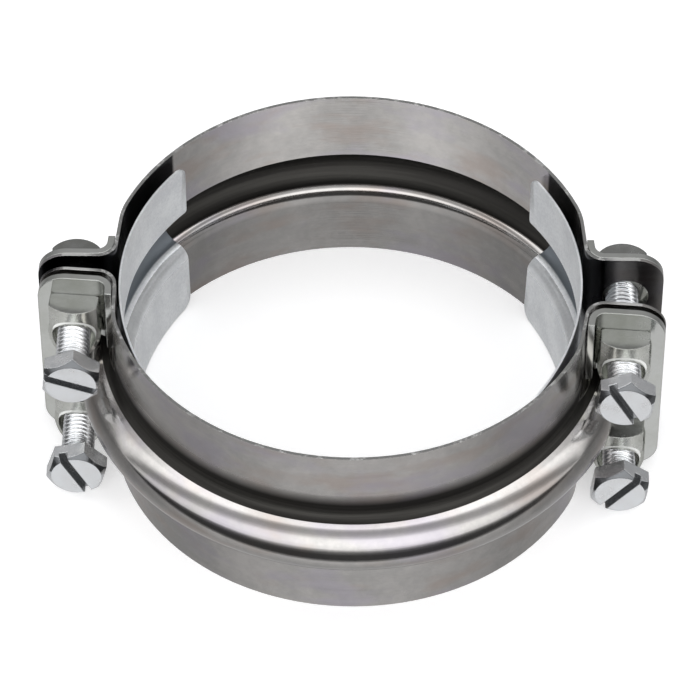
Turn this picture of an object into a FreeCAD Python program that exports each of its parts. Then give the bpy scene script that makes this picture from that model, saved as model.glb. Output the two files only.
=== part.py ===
import FreeCAD, Part
import math
import os

import Sketcher
from FreeCAD import Placement, Rotation, Vector

# Two-part clamp ring for joining exhaust pipe flanges. Two beaded sheet half shells with folded ears close
# round a pipe, two springy sealing strips bridge the joints inside, and four screws pull the ears together.
# Millimetres, +Z up along the pipe. The origin is the rear half shell's own centre at mid-height.

# Driving sizes: alias, value, what it is
SIZES = [
    ("pipe_dia", 115.0, "diameter of the pipe that the half shells clamp"),
    ("ring_height", 52.8, "height of the half shells"),
    ("sheet", 0.8, "sheet of the half shells"),
    ("leave_angle", 22.0, "degrees from the joint where the wall leaves the circle"),
    ("knuckle_rad", 20.0, "bend where the wall leaves the circle, mid-sheet"),
    ("neck_lean", 5.0, "degrees that the neck leans outwards"),
    ("ear_bend_rad", 4.4, "bend from the neck into the ear, mid-sheet"),
    ("ear_plane", 4.2, "mid-sheet of the ear from the half shell's centre"),
    ("ear_reach", 16.9, "tip of the ear from the pipe's circle"),
    ("ear_corner", 7.0, "rounded corners of the ear"),
    ("bead_level", -0.9, "middle of the bead from mid-height"),
    ("bead_stand", 7.9, "how far the bead stands out"),
    ("bead_rad", 7.0, "outside radius of the bead's crown"),
    ("bead_root", 2.2, "outside radius of the bead's roots"),
    ("bead_inset", 4.0, "how far the bead's tools reach inside the wall"),
    ("hole_dia", 11.0, "holes for the screws in ears and brackets"),
    ("hole_offset", 8.0, "holes from the pipe's circle"),
    ("hole_level", -1.35, "holes above the middle of their flats, between bead and rim"),
    ("hole_spread", -2.054, "holes further from the bead than the middle of their flats"),
    ("bracket_sheet", 1.6, "sheet of the brackets"),
    ("bracket_bend", 2.4, "inside bend radius of the brackets"),
    ("bracket_gap", 0.15, "from a bracket's cheek to the neck"),
    ("bracket_reach", 5.8, "end of a bracket's cheek from its face at the ear"),
    ("relief_gap", 1.6, "from the bead's crown to the bracket's cut for it"),
    ("front_bracket_gap", 1.4, "gap that stands open behind the front brackets"),
    ("block_width", 11.5, "bar that saddles and nuts are made from, across"),
    ("block_bulge", 12.6, "saddles and nuts across, where the hole spreads them"),
    ("block_top", 9.4, "straight end of saddles and nuts above their hole's centre"),
    ("saddle_edge", 1.5, "long edges of the saddles' flat are taken off by this much across"),
    ("saddle_edge_rise", 0.6, "long edges of the saddles' flat are taken off by this much in thickness"),
    ("nut_edge", 1.8, "long edges of the nuts' flat are taken off by this much across"),
    ("nut_edge_rise", 1.0, "long edges of the nuts' flat are taken off by this much in thickness"),
    ("saddle_crown", 6.3, "thickness of the saddles at their crown"),
    ("saddle_round", 8.4, "radius of the saddles' crown"),
    ("saddle_bore", 10.3, "hole through the saddles"),
    ("nut_crown", 7.2, "thickness of the nuts at their crown"),
    ("nut_round", 6.9, "radius of the nuts' crown"),
    ("hang_gap", 0.3, "from the screws down to the edge of their holes"),
    ("saddle_hang_gap", 0.15, "from the saddles' holes down to the screws that they hang on"),
    ("left_screw_offset", 8.0, "left screws from the pipe's circle"),
    ("right_screw_offset", 7.2, "right screws from the pipe's circle"),
    ("screw_dia", 8.0, "outside of the screws' thread"),
    ("screw_length", 35.0, "screws under the head"),
    ("thread_gap", 0.05, "from the screws to the nuts' threads"),
    ("head_flats", 13.0, "screw heads across flats"),
    ("head_height", 4.6, "height of the screw heads"),
    ("head_face", 12.0, "flat of the screw heads inside the chamfer"),
    ("head_slope", 44.0, "degrees of the chamfer from the head's flat"),
    ("slot_width", 2.0, "screwdriver slot"),
    ("slot_depth", 2.2, "screwdriver slot's depth"),
    ("point_chamfer", 1.0, "chamfer at the screws' ends"),
    ("strip_sheet", 0.5, "sheet of the sealing strips"),
    ("strip_gap", 0.3, "from a strip's ends to the half shell"),
    ("strip_middle", 2.6, "from the pipe's circle in to a strip's outside, at the joint"),
    ("strip_chord", 72.0, "a strip from end to end"),
    ("strip_height", 46.0, "height of the strips"),
    ("strip_corner", 3.0, "rounded corners of the strips"),
    ("left_strip_turn", -0.6, "degrees that the left strip lies round from the joint"),
    ("right_strip_turn", -3.0, "degrees that the right strip lies round from the joint"),
    ("front_shift_x", 0.6, "front half shell as it stands, to the right"),
    ("front_shift_y", -1.1, "front half shell as it stands, forwards"),
    ("front_turn", -4.3, "degrees that the front half shell stands turned"),
    ("upper_left_head", 20.6, "underside of the head from the ring's centre"),
    ("lower_left_head", 21.7, "underside of the head from the ring's centre"),
    ("upper_right_head", 26.1, "underside of the head from the ring's centre"),
    ("lower_right_head", 25.9, "underside of the head from the ring's centre"),
    ("upper_left_slot", 21.5, "degrees that the slot falls to the right"),
    ("lower_left_slot", 64.0, "degrees that the slot falls to the right"),
    ("upper_right_slot", 61.5, "degrees that the slot falls to the right"),
    ("lower_right_slot", 129.0, "degrees that the slot falls to the right"),
    ("upper_left_turn", -5.8, "degrees that the hexagon is turned"),
    ("lower_left_turn", -17.2, "degrees that the hexagon is turned"),
    ("upper_right_turn", -8.0, "degrees that the hexagon is turned"),
    ("lower_right_turn", -6.5, "degrees that the hexagon is turned"),
]

# The four screws: side and level
CORNERS = {
    "upper_left": (-1, 1),
    "lower_left": (-1, -1),
    "upper_right": (1, 1),
    "lower_right": (1, -1),
}

doc = FreeCAD.newDocument("clamp_ring")
sheet = doc.addObject("Spreadsheet::Sheet", "Sizes")
for row, (alias, value, note) in enumerate(SIZES, start=1):
    sheet.set(f"A{row}", alias)
    sheet.set(f"B{row}", str(value))
    sheet.setAlias(f"B{row}", alias)
    sheet.set(f"C{row}", note)
doc.recompute()


def size(alias):
    """The value of one driving size."""
    return float(sheet.get(alias))


def cells(text):
    """An expression for a feature, with each alias in braces read from the sheet."""
    return text.replace("{", "Sizes.").replace("}", "")


def from_pipe(alias):
    """A size that is measured from the pipe's circle, as its distance from the centre."""
    return size("pipe_dia") / 2 + size(alias)


def from_pipe_cells(alias):
    return f"({{pipe_dia}} / 2 + {{{alias}}})"


# Sketches


def plane(body, role):
    return next(feature for feature in body.Origin.OriginFeatures if feature.Role == role)


def add_sketch(body, name, role):
    sketch = body.newObject("Sketcher::SketchObject", name)
    sketch.AttachmentSupport = [(plane(body, role), "")]
    sketch.MapMode = "FlatFace"
    return sketch


def bind(sketch, kind, refs, value, expression):
    """Adds a constraint whose value is read from the sheet."""
    index = sketch.addConstraint(Sketcher.Constraint(kind, *refs, value))
    sketch.setExpression(f"Constraints[{index}]", cells(expression))
    return index


def join(sketch, first, first_end, second, second_end):
    sketch.addConstraint(Sketcher.Constraint("Coincident", first, first_end, second, second_end))


def tangent(sketch, first, first_end, second, second_end):
    sketch.addConstraint(Sketcher.Constraint("Tangent", first, first_end, second, second_end))


def line(sketch, start, end):
    return sketch.addGeometry(Part.LineSegment(Vector(*start, 0), Vector(*end, 0)), False)


def arc(sketch, centre, radius, start_degrees, end_degrees):
    circle = Part.Circle(Vector(*centre, 0), Vector(0, 0, 1), radius)
    return sketch.addGeometry(
        Part.ArcOfCircle(circle, math.radians(start_degrees), math.radians(end_degrees)), False
    )


def circle(sketch, centre, diameter, construction=False):
    return sketch.addGeometry(
        Part.Circle(Vector(*centre, 0), Vector(0, 0, 1), diameter / 2), construction
    )


def polar(centre, radius, degrees):
    angle = math.radians(degrees)
    return (centre[0] + radius * math.cos(angle), centre[1] + radius * math.sin(angle))


ORIGIN = (-1, 1)
START, END, CENTRE = range(1, 4)
BEYOND = 5.0  # how far a cut runs past what it cuts
TINY = 1e-6


def wall_path(sketch, offset, offset_cells):
    """The half shell's wall from the crown to the neck: circle, knuckle and neck, offset from mid-sheet.

    Returns the neck line's index and the point where it ends, at the joint's plane.
    """
    mid = size("pipe_dia") / 2 + size("sheet") / 2
    leave = size("leave_angle")
    lean = size("neck_lean")
    knuckle_rad = size("knuckle_rad")
    centre = polar((0, 0), mid - knuckle_rad, leave)
    crown = arc(sketch, (0, 0), mid + offset, leave, 90)
    knuckle = arc(sketch, centre, knuckle_rad + offset, lean, leave)
    start = polar(centre, knuckle_rad + offset, lean)
    foot = (start[0] + start[1] * math.tan(math.radians(lean)), 0.0)
    neck = line(sketch, start, foot)
    mid_cells = f"{{pipe_dia}} / 2 + {{sheet}} / 2 + {offset_cells}"
    join(sketch, crown, CENTRE, *ORIGIN)
    bind(sketch, "Radius", (crown,), mid + offset, mid_cells)
    sketch.addConstraint(Sketcher.Constraint("PointOnObject", crown, END, -2))
    bind(
        sketch,
        "DistanceY",
        (crown, START),
        polar((0, 0), mid + offset, leave)[1],
        f"({mid_cells}) * sin({{leave_angle}} * 1deg)",
    )
    tangent(sketch, crown, START, knuckle, END)
    bind(sketch, "Radius", (knuckle,), knuckle_rad + offset, f"{{knuckle_rad}} + {offset_cells}")
    tangent(sketch, knuckle, START, neck, START)
    bind(sketch, "Angle", (-2, neck), math.radians(180 + lean), "(180 + {neck_lean}) * 1deg")
    return crown, neck, start, foot


def ear_outline(sketch, outside):
    """Half of the half shell seen from above: its outside with the ear, or its inside."""
    half_sheet = size("sheet") / 2
    sign = 1 if outside else -1
    offset_cells = f"{sign} * {{sheet}} / 2"
    crown, neck, start, foot = wall_path(sketch, sign * half_sheet, offset_cells)
    bend_rad = size("ear_bend_rad") - sign * half_sheet
    lean = size("neck_lean")
    joint_face = size("ear_plane") - half_sheet
    end_level = joint_face + 2 * half_sheet if outside else joint_face
    centre_y = end_level + bend_rad
    slope = math.tan(math.radians(lean))
    side_x = start[0] + (start[1] - centre_y) * slope
    centre = (side_x + bend_rad / math.cos(math.radians(lean)), centre_y)
    bend = arc(sketch, centre, bend_rad, 180 + lean, 270)
    tangent(sketch, neck, END, bend, START)
    bind(sketch, "Radius", (bend,), bend_rad, f"{{ear_bend_rad}} - {offset_cells}")
    plane_cells = f"{{ear_plane}} + {offset_cells}"
    face_cells = "{ear_plane} - {sheet} / 2"
    base = joint_face if outside else joint_face - BEYOND
    base_cells = face_cells if outside else f"{face_cells} - {BEYOND}"
    if outside:
        tip = from_pipe("ear_reach")
        ear = line(sketch, (centre[0], end_level), (tip, end_level))
        tangent(sketch, bend, END, ear, START)
        sketch.addConstraint(Sketcher.Constraint("Horizontal", ear))
        bind(sketch, "DistanceX", (ear, END), tip, from_pipe_cells("ear_reach"))
        last, last_x = ear, tip
    else:
        last, last_x = bend, centre[0]
        sketch.addConstraint(Sketcher.Constraint("Vertical", bend, END, bend, CENTRE))
    bind(sketch, "DistanceY", (last, END), end_level, plane_cells)
    edge = line(sketch, (last_x, end_level), (last_x, base))
    bottom = line(sketch, (last_x, base), (0, base))
    middle = line(sketch, (0, base), (0, size("pipe_dia") / 2 + half_sheet + sign * half_sheet))
    join(sketch, last, END, edge, START)
    join(sketch, edge, END, bottom, START)
    join(sketch, bottom, END, middle, START)
    join(sketch, middle, END, crown, END)
    sketch.addConstraint(Sketcher.Constraint("Vertical", edge))
    sketch.addConstraint(Sketcher.Constraint("Horizontal", bottom))
    sketch.addConstraint(Sketcher.Constraint("PointOnObject", bottom, END, -2))
    bind(sketch, "DistanceY", (bottom, END), base, base_cells)


def bead_section(sketch, clear, clear_cells):
    """The bead's crown and root fillets, drawn across the wall; clear is how far inside the sheet it lies."""
    level = size("bead_level")
    outside = size("pipe_dia") / 2 + size("sheet")
    crown_rad = size("bead_rad") - clear
    root_rad = size("bead_root") + clear
    crown_y = outside + size("bead_stand") - size("bead_rad")
    root_y = outside + size("bead_root")
    spread = math.sqrt((size("bead_rad") + size("bead_root")) ** 2 - (root_y - crown_y) ** 2)
    lean = math.degrees(math.atan2(spread, root_y - crown_y))
    wall = outside - clear
    floor = wall - size("bead_inset")
    outside_cells = "{pipe_dia} / 2 + {sheet}"
    crown = arc(sketch, (crown_y, level), crown_rad, -lean, lean)
    bind(sketch, "Radius", (crown,), crown_rad, f"{{bead_rad}} - {clear_cells}")
    bind(sketch, "DistanceX", (crown, CENTRE), crown_y, f"{outside_cells} + {{bead_stand}} - {{bead_rad}}")
    bind(sketch, "DistanceY", (crown, CENTRE), level, "{bead_level}")
    corners = []
    for sign in (1, -1):
        centre = (root_y, level + sign * spread)
        near, far = (180, 180 + lean) if sign > 0 else (180 - lean, 180)
        root = arc(sketch, centre, root_rad, near, far)
        wall_end, crown_end = (START, END) if sign > 0 else (END, START)
        tangent(sketch, crown, END if sign > 0 else START, root, crown_end)
        bind(sketch, "Radius", (root,), root_rad, f"{{bead_root}} + {clear_cells}")
        bind(sketch, "DistanceX", (root, CENTRE), root_y, f"{outside_cells} + {{bead_root}}")
        sketch.addConstraint(Sketcher.Constraint("Horizontal", root, wall_end, root, CENTRE))
        side = line(sketch, (wall, centre[1]), (floor, centre[1]))
        join(sketch, root, wall_end, side, START)
        sketch.addConstraint(Sketcher.Constraint("Horizontal", side))
        corners.append((side, floor, centre[1]))
    base = line(sketch, (floor, corners[0][2]), (floor, corners[1][2]))
    join(sketch, corners[0][0], END, base, START)
    join(sketch, corners[1][0], END, base, END)
    sketch.addConstraint(Sketcher.Constraint("Vertical", base))
    bind(sketch, "DistanceX", (base, START), floor, f"{outside_cells} - {clear_cells} - {{bead_inset}}")


def straight_edges(shape, length, test):
    """Names of the straight edges of one length whose middle passes the test."""
    names = []
    for index, edge in enumerate(shape.Edges, start=1):
        straight = edge.Curve.TypeId == "Part::GeomLine"
        if straight and abs(edge.Length - length) < TINY and test(edge.CenterOfMass):
            names.append(f"Edge{index}")
    return names


def round_corners(body, name, thickness, test, radius_cells):
    """Rounds the corners of a sheet, at the edges through its thickness that pass the test."""
    base = body.Tip
    corner = body.newObject("PartDesign::Fillet", name)
    corner.Base = (base, straight_edges(base.Shape, thickness, test))
    corner.setExpression("Radius", cells(radius_cells))
    body.Tip = corner


def at_tip(point):
    return abs(point.x - from_pipe("ear_reach")) < TINY


# Half the bead's width, from its middle to the roots' ends
BEAD_HALF = "sqrt(({bead_rad} + {bead_root}) ^ 2 - ({bead_root} - {bead_stand} + {bead_rad}) ^ 2)"


def bead_half():
    rise = size("bead_root") - size("bead_stand") + size("bead_rad")
    return math.sqrt((size("bead_rad") + size("bead_root")) ** 2 - rise**2)


def hole_level(sign):
    """Level of the upper or the lower holes, on the flat between the bead and the rim."""
    flat = (size("bead_level") + sign * (bead_half() + size("ring_height") / 2)) / 2
    return flat + size("hole_level") + sign * size("hole_spread")


def hole_level_cells(sign):
    flat = f"({{bead_level}} + {sign} * ({BEAD_HALF} + {{ring_height}} / 2)) / 2"
    return f"({flat} + {{hole_level}} + {sign} * {{hole_spread}})"


def screw_holes(body, sketch, pocket_cells, sense=1):
    """Two holes along +Y for the screws, one above the bead and one below.

    A sense of -1 draws them upside down, for a piece that is turned over afterwards.
    """
    diameter = size("hole_dia")
    offset = from_pipe("hole_offset")
    for sign in (1, -1):
        level = sense * hole_level(sign)
        level_cells = f"{sense} * {hole_level_cells(sign)}"
        hole = circle(sketch, (offset, level), diameter)
        bind(sketch, "Diameter", (hole,), diameter, "{hole_dia}")
        bind(sketch, "DistanceX", (hole, CENTRE), offset, from_pipe_cells("hole_offset"))
        bind(sketch, "DistanceY", (hole, CENTRE), level, level_cells)
    pocket = body.newObject("PartDesign::Pocket", "ScrewHoles")
    pocket.Profile = sketch
    pocket.setExpression("Length", cells(pocket_cells))
    return pocket


def pad(body, sketch, name, length_cells, symmetric=True):
    feature = body.newObject("PartDesign::Pad", name)
    feature.Profile = sketch
    feature.SideType = "Symmetric" if symmetric else "One side"
    feature.setExpression("Length", cells(length_cells))
    return feature


def rectangle(sketch, low, high, low_cells, high_cells):
    """A rectangle between two corners that are bound to the sheet."""
    corners = [(low[0], low[1]), (high[0], low[1]), (high[0], high[1]), (low[0], high[1])]
    sides = [line(sketch, corners[i], corners[(i + 1) % 4]) for i in range(4)]
    for i in range(4):
        join(sketch, sides[i], END, sides[(i + 1) % 4], START)
        kind = "Horizontal" if i % 2 == 0 else "Vertical"
        sketch.addConstraint(Sketcher.Constraint(kind, sides[i]))
    for index, kind in enumerate(("DistanceX", "DistanceY")):
        bind(sketch, kind, (sides[0], START), low[index], low_cells[index])
        bind(sketch, kind, (sides[1], END), high[index], high_cells[index])


def joint_trim(body, sketch):
    """Cuts the bead off flush with the ear's face at the joint."""
    reach = from_pipe("ear_reach")
    half = size("ring_height") / 2
    rectangle(
        sketch,
        (-BEYOND, -half),
        (reach, half),
        (f"-{BEYOND}", "-{ring_height} / 2"),
        (from_pipe_cells("ear_reach"), "{ring_height} / 2"),
    )
    trim = body.newObject("PartDesign::Pocket", "JointFace")
    trim.Profile = sketch
    trim.setExpression("Length", cells("{ear_plane} - {sheet} / 2"))
    return trim


def half_shell(name, placement):
    """One beaded half shell with an ear at each end. Drawn as its right half and mirrored."""
    body = doc.addObject("PartDesign::Body", name)
    body.Label = name
    outside = add_sketch(body, "Outside", "XY_Plane")
    ear_outline(outside, True)
    pad(body, outside, "Wall", "{ring_height}")
    path = add_sketch(body, "BeadPath", "XY_Plane")
    neck = wall_path(path, 0.0, "0")[1]
    path.addConstraint(Sketcher.Constraint("PointOnObject", neck, END, -1))
    ridge = add_sketch(body, "Bead", "YZ_Plane")
    bead_section(ridge, 0.0, "0")
    bead = body.newObject("PartDesign::AdditivePipe", "BeadRidge")
    bead.Profile = ridge
    bead.Spine = path
    inside = add_sketch(body, "Inside", "XY_Plane")
    ear_outline(inside, False)
    hollow = body.newObject("PartDesign::Pocket", "Hollow")
    hollow.Profile = inside
    hollow.SideType = "Symmetric"
    hollow.setExpression("Length", cells("{ring_height}"))
    channel = add_sketch(body, "Channel", "YZ_Plane")
    bead_section(channel, size("sheet"), "{sheet}")
    groove = body.newObject("PartDesign::SubtractivePipe", "BeadGroove")
    groove.Profile = channel
    groove.Spine = path
    trim = add_sketch(body, "JointTrim", "XZ_Plane")
    joint_trim(body, trim)
    holes = add_sketch(body, "Holes", "XZ_Plane")
    screw_holes(body, holes, "{ear_plane} + {sheet}")
    doc.recompute()
    round_corners(body, "EarCorners", size("sheet"), at_tip, "{ear_corner}")
    mirror = body.newObject("PartDesign::Mirrored", "OtherSide")
    mirror.TransformMode = "Whole shape"
    mirror.MirrorPlane = (plane(body, "YZ_Plane"), [""])
    body.Tip = mirror
    body.Placement = placement
    return body


# The neck's mid-sheet line, as its distance from the centre along its own normal
NECK_LINE = (
    "(({pipe_dia} / 2 + {sheet} / 2 - {knuckle_rad}) * cos(({leave_angle} - {neck_lean}) * 1deg)"
    " + {knuckle_rad})"
)


def neck_line():
    """The distance of the neck's mid-sheet line from the centre, along its normal."""
    mid = size("pipe_dia") / 2 + size("sheet") / 2
    turn = math.radians(size("leave_angle") - size("neck_lean"))
    return (mid - size("knuckle_rad")) * math.cos(turn) + size("knuckle_rad")


def bead_relief(sketch, sense):
    """A bracket's round-ended cut that follows the bead, from the cheek's side."""
    radius = size("bead_rad") + size("relief_gap")
    radius_cells = "({bead_rad} + {relief_gap})"
    middle = sense * size("bead_level")
    middle_cells = f"{sense} * {{bead_level}}"
    crown = neck_line() + size("sheet") / 2 + size("bead_stand") - size("bead_rad")
    crown_cells = f"{NECK_LINE} + {{sheet}} / 2 + {{bead_stand}} - {{bead_rad}}"
    start = crown - 2 * radius
    round_end = arc(sketch, (crown, middle), radius, -90, 90)
    low = line(sketch, (start, middle - radius), (crown, middle - radius))
    high = line(sketch, (crown, middle + radius), (start, middle + radius))
    back = line(sketch, (start, middle + radius), (start, middle - radius))
    tangent(sketch, low, END, round_end, START)
    tangent(sketch, round_end, END, high, START)
    join(sketch, high, END, back, START)
    join(sketch, back, END, low, START)
    sketch.addConstraint(Sketcher.Constraint("Horizontal", low))
    sketch.addConstraint(Sketcher.Constraint("Horizontal", high))
    sketch.addConstraint(Sketcher.Constraint("Vertical", back))
    bind(sketch, "Radius", (round_end,), radius, radius_cells)
    bind(sketch, "DistanceX", (round_end, CENTRE), crown, crown_cells)
    bind(sketch, "DistanceY", (round_end, CENTRE), middle, middle_cells)
    bind(sketch, "DistanceX", (back, START), start, f"{crown_cells} - 2 * {radius_cells}")


def bracket(name, frame, sense):
    """An L bracket on an ear: a plate with the ear's outline and a cheek along the neck.

    It is drawn for the half shell's own right ear. For the left ear it is drawn upside down with a
    sense of -1 and turned over.
    """
    body = doc.addObject("PartDesign::Body", name)
    body.Label = name
    thick = size("bracket_sheet")
    inner = size("bracket_bend")
    outer = inner + thick
    face = size("ear_plane") + size("sheet") / 2
    face_cells = "{ear_plane} + {sheet} / 2"
    lean = math.radians(size("neck_lean"))
    level = face + outer
    stand = neck_line() + size("sheet") / 2 + size("bracket_gap") + outer
    centre = ((stand - level * math.sin(lean)) / math.cos(lean), level)
    normal = (math.cos(lean), math.sin(lean))
    top = face + size("bracket_reach")
    tip = from_pipe("ear_reach")

    def cheek_point(radius, height):
        foot = (centre[0] - radius * normal[0], centre[1] - radius * normal[1])
        return (foot[0] - (height - foot[1]) * math.tan(lean), height)

    plan = add_sketch(body, "Plan", "XY_Plane")
    plate = line(plan, (tip, face), (centre[0], face))
    bend = arc(plan, centre, outer, 180 + size("neck_lean"), 270)
    cheek = line(plan, polar(centre, outer, 180 + size("neck_lean")), cheek_point(outer, top))
    lip = line(plan, cheek_point(outer, top), cheek_point(inner, top))
    back = line(plan, cheek_point(inner, top), polar(centre, inner, 180 + size("neck_lean")))
    fold = arc(plan, centre, inner, 180 + size("neck_lean"), 270)
    front = line(plan, (centre[0], face + thick), (tip, face + thick))
    edge = line(plan, (tip, face + thick), (tip, face))
    tangent(plan, plate, END, bend, END)
    tangent(plan, bend, START, cheek, START)
    join(plan, cheek, END, lip, START)
    join(plan, lip, END, back, START)
    tangent(plan, back, END, fold, START)
    tangent(plan, fold, END, front, START)
    join(plan, front, END, edge, START)
    join(plan, edge, END, plate, START)
    for flat in (plate, lip):
        plan.addConstraint(Sketcher.Constraint("Horizontal", flat))
    plan.addConstraint(Sketcher.Constraint("Vertical", edge))
    join(plan, fold, CENTRE, bend, CENTRE)
    bind(plan, "Radius", (fold,), inner, "{bracket_bend}")
    bind(plan, "Radius", (bend,), outer, "{bracket_bend} + {bracket_sheet}")
    bind(plan, "Angle", (-2, cheek), lean, "{neck_lean} * 1deg")
    bind(plan, "DistanceX", (plate, START), tip, from_pipe_cells("ear_reach"))
    bind(plan, "DistanceY", (plate, START), face, face_cells)
    bind(plan, "DistanceY", (cheek, END), top, f"{face_cells} + {{bracket_reach}}")
    level_cells = f"({face_cells} + {{bracket_bend}} + {{bracket_sheet}})"
    stand_cells = f"({NECK_LINE} + {{sheet}} / 2 + {{bracket_gap}} + {{bracket_bend}} + {{bracket_sheet}})"
    bind(
        plan,
        "DistanceX",
        (bend, CENTRE),
        centre[0],
        f"({stand_cells} - {level_cells} * sin({{neck_lean}} * 1deg)) / cos({{neck_lean}} * 1deg)",
    )
    plan.addConstraint(Sketcher.Constraint("Parallel", cheek, back))
    pad(body, plan, "Plate", "{ring_height}")
    relief = add_sketch(body, "BeadRelief", "XZ_Plane")
    bead_relief(relief, sense)
    cut = body.newObject("PartDesign::Pocket", "Relief")
    cut.Profile = relief
    cut.setExpression("Length", cells(f"{face_cells} + {{bracket_reach}} + {BEYOND}"))
    holes = add_sketch(body, "Holes", "XZ_Plane")
    screw_holes(body, holes, f"{face_cells} + {{bracket_sheet}}", sense)
    doc.recompute()
    round_corners(body, "PlateCorners", thick, at_tip, "{ear_corner}")
    body.Placement = frame if sense > 0 else frame * TURNED_OVER
    return body


def crowned_block(name, kind, bore, bore_cells, placement):
    """A saddle or a nut, cut from a bar that is flat towards its bracket and crowned away from it.

    It is straight across its top and round below its hole, which runs along Y through the origin.
    """
    body = doc.addObject("PartDesign::Body", name)
    body.Label = name
    half = size("block_width") / 2
    bulge = size("block_bulge") / 2
    top = size("block_top")
    crown = size(f"{kind}_crown")
    crown_cells = f"{{{kind}_crown}}"
    meet = math.sqrt(bulge**2 - half**2)
    spread = math.degrees(math.atan2(meet, half))
    outline = add_sketch(body, "Outline", "XZ_Plane")
    end = arc(outline, (0, 0), bulge, 180 - spread, 360 + spread)
    right = line(outline, (half, meet), (half, top))
    edge = line(outline, (half, top), (-half, top))
    left = line(outline, (-half, top), (-half, meet))
    join(outline, end, END, right, START)
    join(outline, right, END, edge, START)
    join(outline, edge, END, left, START)
    join(outline, left, END, end, START)
    join(outline, end, CENTRE, *ORIGIN)
    outline.addConstraint(Sketcher.Constraint("Vertical", right))
    outline.addConstraint(Sketcher.Constraint("Vertical", left))
    outline.addConstraint(Sketcher.Constraint("Symmetric", edge, START, edge, END, -2))
    bind(outline, "Radius", (end,), bulge, "{block_bulge} / 2")
    bind(outline, "DistanceX", (right, END), half, "{block_width} / 2")
    bind(outline, "DistanceY", (right, END), top, "{block_top}")
    bar = pad(body, outline, "Bar", crown_cells, symmetric=False)
    bar.Reversed = True
    cut_crown(body, kind, crown, crown_cells)
    mouth = add_sketch(body, "Mouth", "XZ_Plane")
    rim = circle(mouth, (0, 0), bore)
    join(mouth, rim, CENTRE, *ORIGIN)
    bind(mouth, "Diameter", (rim,), bore, bore_cells)
    hole = body.newObject("PartDesign::Pocket", "Hole")
    hole.Profile = mouth
    hole.setExpression("Length", cells(crown_cells))
    body.Placement = placement
    return body


def cut_crown(body, kind, crown, crown_cells):
    """Rounds the bar's front over and takes off the long edges of its flat."""
    radius = size(f"{kind}_round")
    bulge = size("block_bulge") / 2
    edge = size(f"{kind}_edge")
    rise = size(f"{kind}_edge_rise")
    centre = crown - radius
    wide = radius + BEYOND
    high = crown + BEYOND
    section = add_sketch(body, "CrownSection", "XY_Plane")
    points = [(radius, centre), (wide, centre), (wide, high), (-wide, high), (-wide, centre), (-radius, centre)]
    sides = [line(section, points[k], points[k + 1]) for k in range(5)]
    over = arc(section, (0, centre), radius, 0, 180)
    for k in range(4):
        join(section, sides[k], END, sides[k + 1], START)
    join(section, over, START, sides[0], START)
    join(section, over, END, sides[4], END)
    for k, way in ((0, "Horizontal"), (1, "Vertical"), (3, "Vertical"), (4, "Horizontal")):
        section.addConstraint(Sketcher.Constraint(way, sides[k]))
    section.addConstraint(Sketcher.Constraint("PointOnObject", over, CENTRE, -2))
    for end in (START, END):
        section.addConstraint(Sketcher.Constraint("Horizontal", over, end, over, CENTRE))
    section.addConstraint(Sketcher.Constraint("Symmetric", sides[1], END, sides[2], END, -2))
    round_cells = f"{{{kind}_round}}"
    bind(section, "Radius", (over,), radius, round_cells)
    bind(section, "DistanceY", (over, CENTRE), centre, f"{crown_cells} - {round_cells}")
    bind(section, "DistanceX", (sides[0], END), wide, f"{round_cells} + {BEYOND}")
    bind(section, "DistanceY", (sides[1], END), high, f"{crown_cells} + {BEYOND}")
    for sign in (1, -1):
        wide = sign * (bulge + edge)
        wedge = [(sign * (bulge - 2 * edge), -rise), (wide, 2 * rise), (wide, -rise)]
        slope, back, base = [line(section, wedge[k], wedge[(k + 1) % 3]) for k in range(3)]
        join(section, slope, END, back, START)
        join(section, back, END, base, START)
        join(section, base, END, slope, START)
        section.addConstraint(Sketcher.Constraint("Vertical", back))
        section.addConstraint(Sketcher.Constraint("Horizontal", base))
        wide_cells = f"{sign} * ({{block_bulge}} / 2 + {{{kind}_edge}})"
        thin_cells = f"{sign} * ({{block_bulge}} / 2 - 2 * {{{kind}_edge}})"
        bind(section, "DistanceX", (back, START), wide, wide_cells)
        bind(section, "DistanceY", (back, START), 2 * rise, f"2 * {{{kind}_edge_rise}}")
        bind(section, "DistanceX", (slope, START), wedge[0][0], thin_cells)
        bind(section, "DistanceY", (slope, START), -rise, f"-{{{kind}_edge_rise}}")
    rounding = body.newObject("PartDesign::Pocket", "Rounding")
    rounding.Profile = section
    rounding.SideType = "Symmetric"
    rounding.setExpression("Length", cells(f"2 * {{block_top}} + 2 * {BEYOND}"))


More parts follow.
